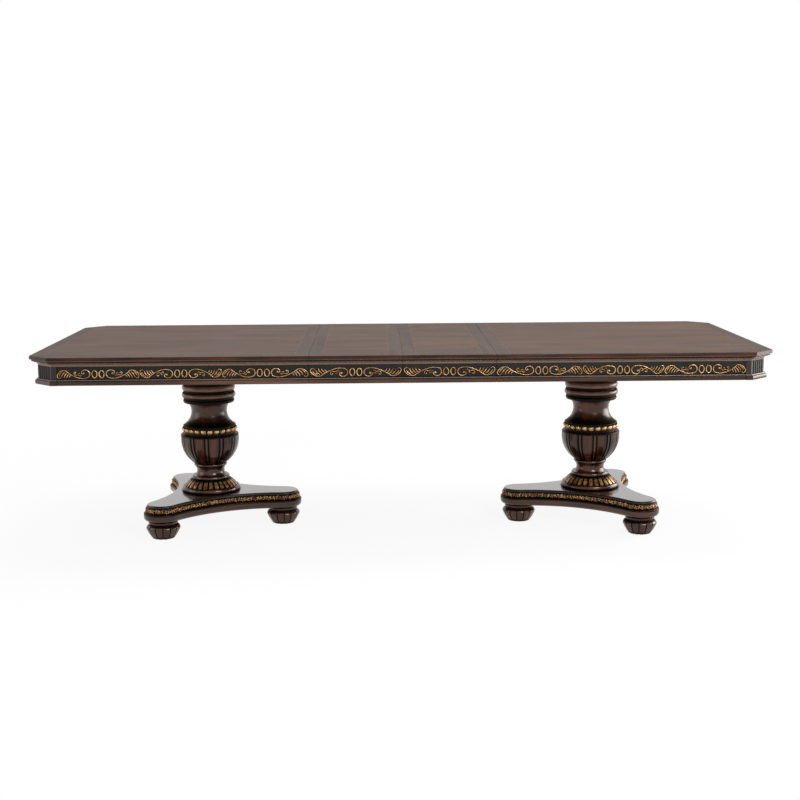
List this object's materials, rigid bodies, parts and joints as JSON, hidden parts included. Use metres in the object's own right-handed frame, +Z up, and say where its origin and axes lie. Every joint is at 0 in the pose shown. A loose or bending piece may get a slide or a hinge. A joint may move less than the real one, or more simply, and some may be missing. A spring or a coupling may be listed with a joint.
{
  "type": "extending dining table",
  "caption": "Long extending dining table with clipped corners, carved gilt friezes, removable leaves and twin turned pedestals on three-lobed plinths with bun feet.",
  "frame": {"origin": "on the floor under the middle of the table, with both leaves in", "axes": "+X along the table, +Y across it, +Z up; the pictured long side faces -Y"},
  "size_m": [2.8216, 1.168, 0.775],
  "materials": {
    "top_veneer": "semi-gloss veneer",
    "moulding_wood": "semi-gloss stain",
    "frieze_black": "satin black",
    "pedestal_wood": "glossy stain",
    "gilding": "antique gilding",
    "slide_wood": "plain planed wood",
    "fastener_steel": "zinc plated",
    "lock_steel": "plated"
  },
  "bodies": {
    "slide_frame": {"centre_runners": "slide_wood", "cross_braces": "slide_wood"},
    "left_half": {"left_top": "top_veneer", "left_cove_moulding": "moulding_wood", "left_front_rail": "frieze_black", "left_back_rail": "frieze_black", "left_end_rail": "frieze_black", "left_corner_posts": "frieze_black", "left_base_moulding": "moulding_wood", "left_runners": "slide_wood", "left_head_plate": "slide_wood", "left_column": "pedestal_wood", "left_bead_collar": "gilding", "left_bowl": "pedestal_wood", "left_stem": "pedestal_wood", "left_tongue_collar": "gilding", "left_plinth_base": "pedestal_wood", "left_gilt_band": "gilding", "left_plinth_top": "pedestal_wood", "left_feet": "pedestal_wood", "left_tie_rod": "fastener_steel", "left_screws": "fastener_steel", "left_lock_plates": "lock_steel"},
    "right_half": {"right_top": "top_veneer", "right_cove_moulding": "moulding_wood", "right_front_rail": "frieze_black", "right_back_rail": "frieze_black", "right_end_rail": "frieze_black", "right_corner_posts": "frieze_black", "right_base_moulding": "moulding_wood", "right_runners": "slide_wood", "right_head_plate": "slide_wood", "right_column": "pedestal_wood", "right_bead_collar": "gilding", "right_bowl": "pedestal_wood", "right_stem": "pedestal_wood", "right_tongue_collar": "gilding", "right_plinth_base": "pedestal_wood", "right_gilt_band": "gilding", "right_plinth_top": "pedestal_wood", "right_feet": "pedestal_wood", "right_tie_rod": "fastener_steel", "right_screws": "fastener_steel", "right_lock_keepers": "lock_steel"},
    "leaf_left": {"leaf_left_top": "top_veneer", "leaf_left_front_rail": "frieze_black", "leaf_left_back_rail": "frieze_black", "leaf_left_mouldings": "moulding_wood", "leaf_left_lock_fittings": "lock_steel"},
    "leaf_right": {"leaf_right_top": "top_veneer", "leaf_right_front_rail": "frieze_black", "leaf_right_back_rail": "frieze_black", "leaf_right_mouldings": "moulding_wood", "leaf_right_lock_fittings": "lock_steel"},
    "left_front_lock": {"left_front_lock_lever": "lock_steel"},
    "left_back_lock": {"left_back_lock_lever": "lock_steel"},
    "middle_front_lock": {"middle_front_lock_lever": "lock_steel"},
    "middle_back_lock": {"middle_back_lock_lever": "lock_steel"},
    "right_front_lock": {"right_front_lock_lever": "lock_steel"},
    "right_back_lock": {"right_back_lock_lever": "lock_steel"}
  },
  "joints": [
    {"name": "left_half_slide", "type": "slide", "parent": "slide_frame", "child": "left_half", "axis": [-1, 0, 0], "range_m": [0, 0.06]},
    {"name": "right_half_slide", "type": "slide", "parent": "slide_frame", "child": "right_half", "axis": [1, 0, 0], "range_m": [0, 0.06]},
    {"name": "leaf_left_lift", "type": "slide", "parent": "slide_frame", "child": "leaf_left", "axis": [0, 0, 1], "range_m": [0, 0.5]},
    {"name": "leaf_right_lift", "type": "slide", "parent": "slide_frame", "child": "leaf_right", "axis": [0, 0, 1], "range_m": [0, 0.5]},
    {"name": "left_front_lock_swing", "type": "hinge", "parent": "left_half", "child": "left_front_lock", "pos_m": [-0.3888, -0.42585, 0.7475], "axis": [0, 0, -1], "range_deg": [0, 90]},
    {"name": "left_back_lock_swing", "type": "hinge", "parent": "left_half", "child": "left_back_lock", "pos_m": [-0.3888, 0.42585, 0.7475], "axis": [0, 0, 1], "range_deg": [0, 90]},
    {"name": "middle_front_lock_swing", "type": "hinge", "parent": "leaf_left", "child": "middle_front_lock", "pos_m": [-0.0356, -0.42585, 0.7475], "axis": [0, 0, -1], "range_deg": [0, 90]},
    {"name": "middle_back_lock_swing", "type": "hinge", "parent": "leaf_left", "child": "middle_back_lock", "pos_m": [-0.0356, 0.42585, 0.7475], "axis": [0, 0, 1], "range_deg": [0, 90]},
    {"name": "right_front_lock_swing", "type": "hinge", "parent": "leaf_right", "child": "right_front_lock", "pos_m": [0.3176, -0.42585, 0.7475], "axis": [0, 0, -1], "range_deg": [0, 90]},
    {"name": "right_back_lock_swing", "type": "hinge", "parent": "leaf_right", "child": "right_back_lock", "pos_m": [0.3176, 0.42585, 0.7475], "axis": [0, 0, 1], "range_deg": [0, 90]}
  ]
}
